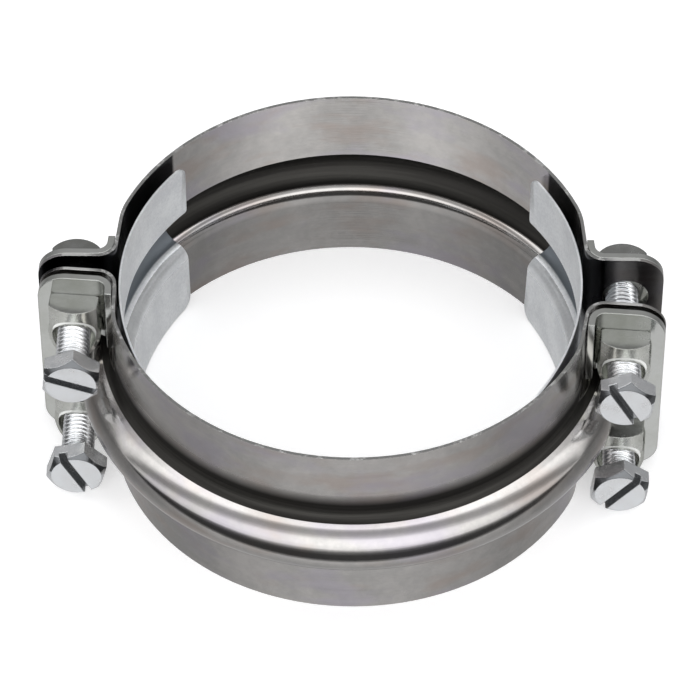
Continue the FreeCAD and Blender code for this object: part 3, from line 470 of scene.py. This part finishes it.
def makeBlockZinc(name, look, hole=None):
    mix = Recipe(name)
    colour = cloudyZinc(mix, look, mix.noise(mix.coords, *look["pits"]))
    # painted shade on the faces that look up or down
    onTop = mix.spread(mix.facing(2), *look["topFacing"])
    colour = mix.blendColours(onTop, colour, look["paintedShadeOnFlats"], "MULTIPLY")
    # painted highlight: a matte bright ring round the hole's edge, on the faces towards the front
    if hole:
        x, y, z, out = mix.aroundPipe()
        fromHole = mix.fromPoint(x, z, hole)
        inFront = mix.spread(mix.facing(1), *look["holeHighlightFacing"])
        ring = mix.product(mix.band(fromHole, *look["holeHighlightReach"]), inFront)
        colour = mix.blendColours(ring, colour, look["paintedHoleHighlight"])
        mix.plug(mix.spread(ring, 0.0, 1.0, look["metallic"], 0.0), mix.shader.inputs["Metallic"])
    mix.plug(colour, mix.shader.inputs["Base Color"])
    return mix.material


def makeScrewZinc(name, look):
    mix = Recipe(name)
    colour = cloudyZinc(mix, look, mix.noise(mix.coords, *look["pits"]))
    shaded = mix.add("ShaderNodeAttribute", attribute_name="shaded").outputs["Fac"]
    mix.plug(mix.blendColours(shaded, colour, look["shade"]), mix.shader.inputs["Base Color"])
    return mix.material


# sealing strips

stripZinc = {
    "light": (0.95, 0.97, 0.98),
    "dark": (0.78, 0.80, 0.82),
    "paintedShade": (0.16, 0.18, 0.20),  # painted shade inside the channel
    "speckle": (1500.0, 3.0, 0.7),
    "clouds": (120.0, 4.0, 0.6),
    "shadeSpread": (0.40, 0.60),
    "metallic": 0.52,
    "roughness": (0.35, 0.65, 0.30, 0.42),  # speckle from 0.35 to 0.65 gives 0.30 to 0.42
    "lipSmoother": 0.15,
    "grain": 0.00002,  # m
    "grainStrength": 0.5,
    "rounded": 0.00012,  # m
}

# places on a strip: mm out from the middle of its own arc, mm up, and degrees
stripPlaces = {
    "beadMiddle": (69.2, -0.9),
    "lipMiddle": (70.5, -10.0),
    "channel": (0.0, 6.0, 0.2),  # from the bead's middle: low, high and soft
    "channelOut": (70.3, 80.0, 0.4),
    "lip": ((3.1, 4.2, 0.1), (-10.0, -6.6, 0.05), (66.4, 70.6, 0.1)),  # radius, level and out
    "lipLean": ((67.5, 68.1, 16.0), (68.1, 68.7, 14.0), (68.7, 70.3, 44.0)),
    "footLean": 3.5,  # added to the whole lip
    "turnPerRear": 0.0028,  # radians for each mm to the rear
}


def turnedRound(mix, places, x, y):
    # where the bent rear end turns the normal to
    turn = mix.product(mix.maths("MAXIMUM", y, 0.0), places["turnPerRear"])
    backX = mix.product(y, mix.maths("SIGN", x), turn)
    return mix.maths("SUBTRACT", x, backX), mix.total(y, mix.product(mix.maths("ABSOLUTE", x), turn))


def makeStripZinc(name, look, places, middle):
    mix = Recipe(name)
    mix.coords = mix.add("ShaderNodeAttribute", attribute_name="restPlace").outputs["Vector"]
    x, y, level, out = mix.aroundPipe(middle)
    fromBead = mix.fromPoint(out, level, places["beadMiddle"])
    fromLip = mix.fromPoint(out, level, places["lipMiddle"])
    speckle = mix.noise(mix.coords, *look["speckle"])
    clouds = mix.noise(mix.coords, *look["clouds"])
    shade = mix.total(mix.product(speckle, 0.5), mix.product(clouds, 0.5))
    colour = mix.blendColours(mix.spread(shade, *look["shadeSpread"]), look["dark"], look["light"])
    # painted shade inside the channel
    paintedShade = mix.patch((fromBead, *places["channel"]), (out, *places["channelOut"]))
    mix.plug(mix.blendColours(paintedShade, colour, look["paintedShade"]), mix.shader.inputs["Base Color"])
    mix.shader.inputs["Metallic"].default_value = look["metallic"]
    radius, height, reach = places["lip"]
    lip = mix.patch((fromLip, *radius), (level, *height), (out, *reach))
    rough = mix.total(mix.spread(speckle, *look["roughness"]), mix.product(lip, -look["lipSmoother"]))
    mix.plug(rough, mix.shader.inputs["Roughness"])
    normal = mix.bump(speckle, look["grain"], look["grainStrength"], mix.softEdges(look["rounded"]))
    lean = mix.total(mix.risingLean(out, places["lipLean"]), places["footLean"])
    x, y = turnedRound(mix, places, x, y)
    mix.plug(mix.blendVectors(lip, normal, mix.leaning(x, y, out, lean, -1.0)), mix.shader.inputs["Normal"])
    return mix.material


frontMiddle = (0.6, -1.1)  # mm, the middle of the front half's own arc
steels = {
    "rear_half_shell": makeShellSteel("rearRolledSteel", shellSteel, shellPlaces, (0.0, 0.0), -1.0),
    "front_half_shell": makeShellSteel("frontRolledSteel", shellSteel, shellPlaces, frontMiddle, 1.0),
}
plate = makePlateZinc("brightPlate", plateZinc)
block = makeBlockZinc("zincBlock", blockZinc)
bolt = makeScrewZinc("brightScrew", screwZinc)


def finishNode(name, material):
    for entry in nodes[name].material_slots:
        entry.material = material


holeReach = 5.6  # mm, past a saddle's hole and short of its sides


def holeMiddle(corner):
    # middle of a saddle's hole, from the points near the screw's axis
    low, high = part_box(f"{corner}_screw")
    middle = (low + high) / 2
    points = [v.co for v in nodes[f"{corner}_saddle"].data.vertices]
    near = [p for p in points if math.hypot(p.x - middle.x, p.z - middle.z) < holeReach * mm]
    return [(min(p[k] for p in near) + max(p[k] for p in near)) / 2 / mm for k in (0, 2)]


for corner in corners:
    finishNode(f"{corner}_saddle", makeBlockZinc(f"{corner}Saddle", blockZinc, holeMiddle(corner)))
for name in nodes:
    if name in steels:
        finishNode(name, steels[name])
    elif name.endswith("bracket"):
        finishNode(name, plate)
    elif name.endswith("screw"):
        finishNode(name, bolt)
    elif not name.endswith("saddle"):
        finishNode(name, block)
print("metals made and put on")

# screws: a thread in place of the plain shank

screwShape = {  # mm
    "pitch": 1.25,
    "crest": 3.98,
    "root": 3.30,
    "length": 35.0,
    "chamfer": 1.0,
    "around": 40,
    "perTurn": 12,
    "plain": 0.8,  # run-out under the head
    "runOutDepth": 0.35,
    "shankFrom": 0.01,  # under the head
    "clearOfHead": 1.0,
    "slotFrom": 0.3,  # deeper than the head's face
    "slotReach": 5.9,  # from the axis
    "underHead": 0.5,
    "slotFloor": 0.55,  # how dark the slot's floor, its sides and the upper chamfer are
    "slotSides": 0.7,
    "upperChamfer": 0.88,
}


def threadProfile(phase):
    # share of the thread's depth at a phase of one pitch: flank, crest, flank, root
    flank, crest = 0.40, 0.12
    phase = phase % 1.0
    if phase < flank:
        return phase / flank
    if phase < flank + crest:
        return 1.0
    if phase < 2 * flank + crest:
        return 1.0 - (phase - flank - crest) / flank
    return 0.0


def makeThread(mesh, shape, headUnder, axisX, axisZ):
    around, step = shape["around"], shape["pitch"] / shape["perTurn"]
    rows = int(shape["length"] / step)
    grid = []
    for i in range(rows + 1):
        along = shape["length"] * i / rows
        ring = []
        for k in range(around):
            angle = 2 * math.pi * k / around
            depth = threadProfile(along / shape["pitch"] - k / around)
            radius = shape["root"] + (shape["crest"] - shape["root"]) * depth
            if along < shape["plain"]:
                depth = min(depth, shape["runOutDepth"])
                radius = shape["root"] + (shape["crest"] - shape["root"]) * depth
            left = shape["length"] - along
            if left < shape["chamfer"]:
                radius = min(radius, shape["crest"] - shape["chamfer"] + left)
            point = (axisX + radius * math.cos(angle), headUnder + along, axisZ + radius * math.sin(angle))
            ring.append(mesh.verts.new([value * mm for value in point]))
        grid.append(ring)
    for i in range(rows):
        for k in range(around):
            n = (k + 1) % around
            face = mesh.faces.new((grid[i][k], grid[i + 1][k], grid[i + 1][n], grid[i][n]))
            face.smooth = True
    mesh.faces.new(grid[-1][::-1])
    mesh.faces.new(grid[0])


def shadeHead(mesh, shape, faceY, headUnder, axisX, axisZ):
    # marks the slot and the upper chamfer, which the material darkens
    shaded = mesh.faces.layers.float.new("shaded")
    for face in mesh.faces:
        face.smooth = False
        place, normal = face.calc_center_median() / mm, face.normal
        aside = math.hypot(place.x - axisX, place.z - axisZ)
        deep = place.y > faceY + shape["slotFrom"] and abs(place.y - headUnder) > shape["underHead"]
        inSlot = deep and aside < shape["slotReach"]
        facesFront, facesAside = normal.y < -0.9, abs(normal.y) < 0.3
        slantsUp = -0.97 < normal.y < -0.5 and normal.z > 0.15
        if inSlot and facesFront:
            face[shaded] = shape["slotFloor"]
        elif inSlot and facesAside:
            face[shaded] = shape["slotSides"]
        elif slantsUp:
            face[shaded] = shape["upperChamfer"]


def makeScrew(corner, shape):
    node = nodes[f"{corner}_screw"]
    low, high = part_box(f"{corner}_screw")
    headUnder = high.y / mm - shape["length"]
    points = [v.co for v in node.data.vertices if v.co.y > (headUnder + shape["clearOfHead"]) * mm]
    axisX = (min(p.x for p in points) + max(p.x for p in points)) / 2 / mm
    axisZ = (min(p.z for p in points) + max(p.z for p in points)) / 2 / mm
    mesh = bmesh.new()
    mesh.from_mesh(node.data)
    shank = [v for v in mesh.verts if v.co.y > (headUnder + shape["shankFrom"]) * mm]
    bmesh.ops.delete(mesh, geom=shank, context="VERTS")
    shadeHead(mesh, shape, low.y / mm, headUnder, axisX, axisZ)
    makeThread(mesh, shape, headUnder, axisX, axisZ)
    data = bpy.data.meshes.new(f"{corner}_threaded_screw")
    mesh.to_mesh(data)
    mesh.free()
    screw = bpy.data.objects.new(f"{corner}_threaded_screw", data)
    bpy.context.scene.collection.objects.link(screw)
    data.materials.append(bolt)
    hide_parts(f"{corner}_screw")
    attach(screw, f"{corner}_bolt")


for corner in corners:
    makeScrew(corner, screwShape)
print("threads cut")

# sealing strips: loose, so a little askew

stripShape = {  # mm
    "arcMiddle": {"left": (12.3, 0.0), "right": (-12.28, 0.64)},
    "endAngle": 39.0,  # degrees from the joint to the strip's end
    "toRear": 2.9,  # degrees that the rear end reaches further round
    "rearIn": 1.5,  # how far the rear end stands off the half shell
    "footIn": 2.0,  # how far the foot leans in
    "footDown": 2.8,  # how much lower the foot reaches
    "foot": (-10.0, -23.0),
    "leanFrom": 10.0,
    "springReach": 30.0,
    "weld": 0.002,
    "sharpFrom": 35.0,  # degrees
}


def makeStrip(side, shape):
    node = nodes[f"{side}_seal_strip"]
    mesh = bmesh.new()
    mesh.from_mesh(node.data)
    bmesh.ops.remove_doubles(mesh, verts=mesh.verts, dist=shape["weld"] * mm)
    rest = mesh.verts.layers.float_vector.new("restPlace")
    top, bottom = shape["foot"]
    for vert in mesh.verts:
        vert[rest] = vert.co
        x, y, z = vert.co / mm
        out, angle = math.hypot(x, y), math.atan2(y, abs(x))
        rearward = max(0.0, math.degrees(angle) / shape["endAngle"])
        low = min(max((shape["leanFrom"] - z) / (shape["leanFrom"] - bottom), 0.0), 1.0)
        out -= max(shape["rearIn"] * rearward ** 2, shape["footIn"] * low)
        angle += math.radians(shape["toRear"]) * rearward
        if z < top:
            z = top + (z - top) * (1 + shape["footDown"] / (top - bottom))
        x = math.copysign(out * math.cos(angle), x)
        vert.co = Vector((x, out * math.sin(angle), z)) * mm
    for face in mesh.faces:
        face.smooth = True
    data = bpy.data.meshes.new(f"{side}_sprung_strip")
    mesh.to_mesh(data)
    mesh.free()
    data.set_sharp_from_angle(angle=math.radians(shape["sharpFrom"]))
    strip = bpy.data.objects.new(f"{side}_sprung_strip", data)
    bpy.context.scene.collection.objects.link(strip)
    galvanised = makeStripZinc(f"{side}GalvanisedStrip", stripZinc, stripPlaces, shape["arcMiddle"][side])
    data.materials.append(galvanised)
    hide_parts(f"{side}_seal_strip")
    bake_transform(strip)


for side in ("left", "right"):
    makeStrip(side, stripShape)
print("strips bent")

# floor and light

floorLook = {
    "level": -26.4,  # mm, at the lower rims
    "reach": 3.0,  # m
    "pale": (0.9, 0.9, 0.9),
    "roughness": 0.95,
    "glow": 0.42,
}


def makeFloor(look):
    mesh = bmesh.new()
    bmesh.ops.create_grid(mesh, x_segments=1, y_segments=1, size=look["reach"])
    data = bpy.data.meshes.new("paleFloor")
    mesh.to_mesh(data)
    mesh.free()
    floor = bpy.data.objects.new("paleFloor", data)
    floor.location.z = look["level"] * mm
    bpy.context.scene.collection.objects.link(floor)
    mix = Recipe("paleFloorPaint")
    mix.shader.inputs["Base Color"].default_value = (*look["pale"], 1.0)
    mix.shader.inputs["Roughness"].default_value = look["roughness"]
    mix.shader.inputs["Specular IOR Level"].default_value = 0.0
    mix.shader.inputs["Emission Color"].default_value = (1.0, 1.0, 1.0, 1.0)
    mix.shader.inputs["Emission Strength"].default_value = look["glow"]
    data.materials.append(mix.material)
    floor.visible_glossy = False  # the metal mirrors the studio below instead


studio = {
    # degrees, then brightness: 0 is the horizon in front, 90 overhead, 180 behind, -90 straight below
    "sky": [
        (-180, 0.3), (-150, 0.4), (-120, 0.5), (-80, 0.5), (-60, 0.62), (-48, 0.78), (-43, 0.37), (-36, 0.07),
        (-12, 0.07), (0, 0.22), (6, 0.7), (14, 1.7), (28, 1.95), (48, 1.9), (56, 1.1), (68, 0.62), (80, 0.55),
        (87, 0.9), (94, 2.1), (106, 2.2), (113, 1.0), (121, 0.42), (180, 0.34),
    ],
    "endFade": 0.5,  # darker towards the left and right
    "brightest": 2.2,
    "cooler": 1.01,  # blue against red and green
}


def makeStudio(look):
    world = bpy.data.worlds.new("studio")
    bpy.context.scene.world = world
    world.use_nodes = True
    tree = world.node_tree
    split = tree.nodes.new("ShaderNodeSeparateXYZ")
    tree.links.new(tree.nodes.new("ShaderNodeTexCoord").outputs["Generated"], split.inputs[0])

    def maths(operation, first, second):
        node = tree.nodes.new("ShaderNodeMath")
        node.operation = operation
        for socket, value in zip(node.inputs, (first, second)):
            if isinstance(value, float):
                socket.default_value = value
            else:
                tree.links.new(value, socket)
        return node.outputs[0]

    forward = maths("MULTIPLY", split.outputs[1], -1.0)
    turn = maths("ARCTAN2", split.outputs[2], forward)
    share = maths("ADD", maths("MULTIPLY", turn, 1 / (2 * math.pi)), 0.5)
    ramp = tree.nodes.new("ShaderNodeValToRGB")
    ramp.color_ramp.interpolation = "EASE"
    stops = ramp.color_ramp.elements
    for k, (degrees, level) in enumerate(look["sky"]):
        position = degrees / 360 + 0.5
        stop = stops[k] if k < 2 else stops.new(position)
        stop.position = position
        grey = level / look["brightest"]
        stop.color = (grey, grey, grey * look["cooler"], 1.0)
    tree.links.new(share, ramp.inputs["Fac"])
    sideways = maths("POWER", maths("ABSOLUTE", split.outputs[0], 0.0), 2.0)
    side = maths("MULTIPLY", sideways, look["endFade"])
    strength = maths("MULTIPLY", maths("SUBTRACT", 1.0, side), look["brightest"])
    background = tree.nodes["Background"]
    tree.links.new(ramp.outputs["Color"], background.inputs["Color"])
    tree.links.new(strength, background.inputs["Strength"])


makeFloor(floorLook)
makeStudio(studio)
bpy.context.scene.view_settings.view_transform = "Standard"
print("floor and light set")
